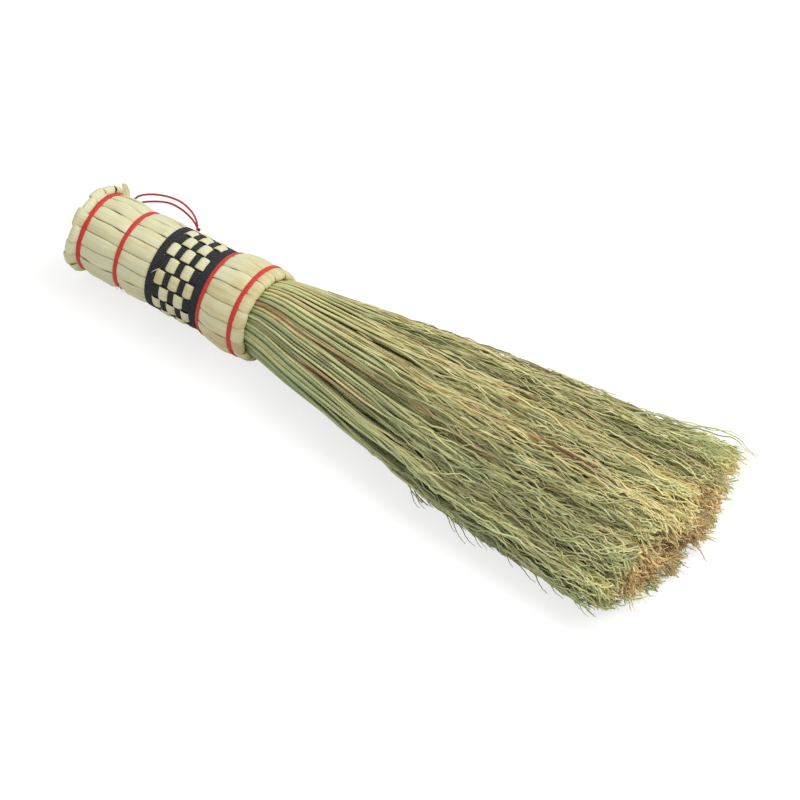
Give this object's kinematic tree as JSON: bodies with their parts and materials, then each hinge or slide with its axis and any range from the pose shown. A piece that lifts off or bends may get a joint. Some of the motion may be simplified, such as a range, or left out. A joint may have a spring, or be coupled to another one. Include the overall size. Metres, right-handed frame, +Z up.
{
  "type": "wok brush",
  "caption": "Whisk of sorghum stalks with a handle sheathed in straw strips, bound by red cords and a woven black tape, with a thin hang loop.",
  "frame": {"origin": "on the table, under the middle of the brush's box, as it lies on its side", "axes": "+X along the handle from the butt to the bristles' tips, +Y to the far side where the hang loop is, +Z up from the table"},
  "size_m": [0.2973, 0.102, 0.0425],
  "materials": {
    "sorghum_stalk": "dry green-grey sorghum stalk, satin",
    "sorghum_core": "dry brown sorghum panicle, matt",
    "straw": "pale cream straw, low sheen",
    "straw_tan": "tan straw, low sheen",
    "black_tape": "matt woven tape",
    "red_cord": "twisted flat cord, low sheen",
    "twine": "matt twine"
  },
  "bodies": {
    "brush": {"loop_knot": "red_cord", "neck_binding": "twine", "rear_binding": "twine", "red_tie_1": "red_cord", "red_tie_2": "red_cord", "red_tie_3": "red_cord", "red_tie_4": "red_cord", "stalk_bundle_1": "sorghum_stalk", "stalk_bundle_2": "sorghum_stalk", "stalk_bundle_3": "sorghum_stalk", "stalk_bundle_4": "sorghum_stalk", "stalk_bundle_5": "sorghum_stalk", "stalk_bundle_6": "sorghum_stalk", "stalk_core": "sorghum_core", "straw_strip_01": "straw", "straw_strip_02": "straw", "straw_strip_03": "straw", "straw_strip_04": "straw", "straw_strip_05": "straw", "straw_strip_06": "straw", "straw_strip_07": "straw", "straw_strip_08": "straw", "straw_strip_09": "straw_tan", "straw_strip_10": "straw", "straw_strip_11": "straw", "straw_strip_12": "straw", "straw_strip_13": "straw", "straw_strip_14": "straw", "straw_strip_15": "straw", "straw_strip_16": "straw", "straw_strip_17": "straw", "woven_tape": "black_tape"},
    "loop": {"hang_loop": "red_cord"}
  },
  "joints": [
    {"name": "loop_swing", "type": "hinge", "parent": "brush", "child": "loop", "pos_m": [-0.10445, 0.0153, 0.03309], "axis": [0, 0.6198, -0.7848], "range_deg": [0, 120]}
  ]
}
